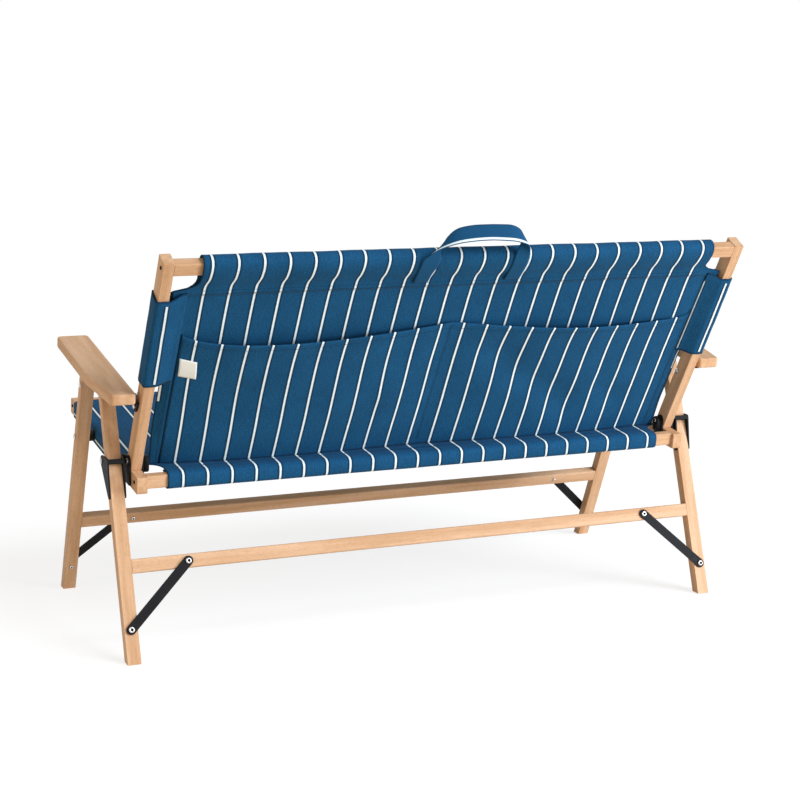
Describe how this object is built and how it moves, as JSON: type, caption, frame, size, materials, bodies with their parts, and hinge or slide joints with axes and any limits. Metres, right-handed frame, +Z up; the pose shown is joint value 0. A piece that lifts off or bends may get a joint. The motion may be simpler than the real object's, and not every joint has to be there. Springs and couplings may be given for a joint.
{
  "type": "folding camping loveseat",
  "caption": "Low folding two-person camping bench with a wooden frame, a striped fabric sling seat and back, flat armrests, a rear pocket and a carry handle.",
  "frame": {"origin": "on the floor, under the middle of the overall box with the seat open", "axes": "+X to the sitter's left, +Y to the rear, +Z up"},
  "size_m": [1.154, 0.652, 0.7003],
  "materials": {
    "beech": "clear satin",
    "iron": "black satin",
    "chrome": "polished",
    "cloth": "woven blue with fine white stripes",
    "tag": "plain cream, unprinted"
  },
  "bodies": {
    "seat_frame": {"seat_rail_L": "beech", "seat_rail_R": "beech", "seat_front_bar": "beech", "seat_rear_bar": "beech", "front_leg_spacer_L": "iron", "front_leg_spacer_R": "iron", "front_leg_rivet_L": "chrome", "front_leg_rivet_R": "chrome", "back_hinge_plate_L": "iron", "back_hinge_plate_R": "iron", "back_hinge_rivet_L": "chrome", "back_hinge_rivet_R": "chrome", "stirrup_mount_L": "iron", "stirrup_mount_R": "iron", "stirrup_rivet_L": "chrome", "stirrup_rivet_R": "chrome", "seat_sling": "cloth"},
    "back_frame": {"back_rail_L": "beech", "back_rail_R": "beech", "back_top_bar": "beech", "back_sling": "cloth", "pocket_panel": "cloth", "label_tag": "tag", "carry_handle": "cloth"},
    "front_legs": {"front_leg_L": "beech", "front_leg_R": "beech", "front_stretcher": "beech", "front_strap_L": "iron", "front_strap_R": "iron"},
    "rear_legs": {"rear_leg_L": "beech", "rear_leg_R": "beech", "rear_stretcher": "beech", "rear_strap_L": "iron", "rear_strap_R": "iron"},
    "armrest_L": {"armrest_L": "beech", "arm_front_bracket_L": "iron", "arm_front_rivet_L": "chrome", "arm_leg_bracket_L": "iron", "arm_leg_rivet_L": "chrome", "arm_rear_bracket_L": "iron", "arm_rear_rivet_L": "chrome"},
    "stirrup_L": {"stirrup_L": "iron"},
    "armrest_R": {"armrest_R": "beech", "arm_front_bracket_R": "iron", "arm_front_rivet_R": "chrome", "arm_leg_bracket_R": "iron", "arm_leg_rivet_R": "chrome", "arm_rear_bracket_R": "iron", "arm_rear_rivet_R": "chrome"},
    "stirrup_R": {"stirrup_R": "iron"}
  },
  "joints": [
    {"name": "back_fold", "type": "hinge", "parent": "seat_frame", "child": "back_frame", "pos_m": [0, 0.07924, 0.3103], "axis": [1, 0, 0], "range_deg": [0, 96]},
    {"name": "front_leg_fold", "type": "hinge", "parent": "seat_frame", "child": "front_legs", "pos_m": [0, -0.1445, 0.308], "axis": [1, 0, 0], "range_deg": [0, 96]},
    {"name": "arm_swing_L", "type": "hinge", "parent": "front_legs", "child": "armrest_L", "pos_m": [0.5385, -0.09672, 0.40819], "axis": [1, 0, 0], "range_deg": [-96, 0]},
    {"name": "arm_swing_R", "type": "hinge", "parent": "front_legs", "child": "armrest_R", "pos_m": [-0.5385, -0.09672, 0.40819], "axis": [1, 0, 0], "range_deg": [-96, 0]},
    {"name": "rear_leg_fold", "type": "hinge", "parent": "armrest_L", "child": "rear_legs", "pos_m": [0, 0.03088, 0.41503], "axis": [1, 0, 0], "range_deg": [0, 61.7]},
    {"name": "stirrup_turn_L", "type": "hinge", "parent": "seat_frame", "child": "stirrup_L", "pos_m": [0.5385, 0.05047, 0.30698], "axis": [1, 0, 0], "range_deg": [0, 61.7]},
    {"name": "stirrup_turn_R", "type": "hinge", "parent": "seat_frame", "child": "stirrup_R", "pos_m": [-0.5385, 0.05047, 0.30698], "axis": [1, 0, 0], "range_deg": [0, 61.7]}
  ],
  "couplings": [
    {"joint": "front_leg_fold", "follows": "back_fold", "ratio": 1},
    {"joint": "arm_swing_L", "follows": "back_fold", "ratio": -1},
    {"joint": "arm_swing_R", "follows": "back_fold", "ratio": -1},
    {"joint": "rear_leg_fold", "follows": "back_fold", "ratio": 0.642},
    {"joint": "stirrup_turn_L", "follows": "back_fold", "ratio": 0.642},
    {"joint": "stirrup_turn_R", "follows": "back_fold", "ratio": 0.642}
  ]
}
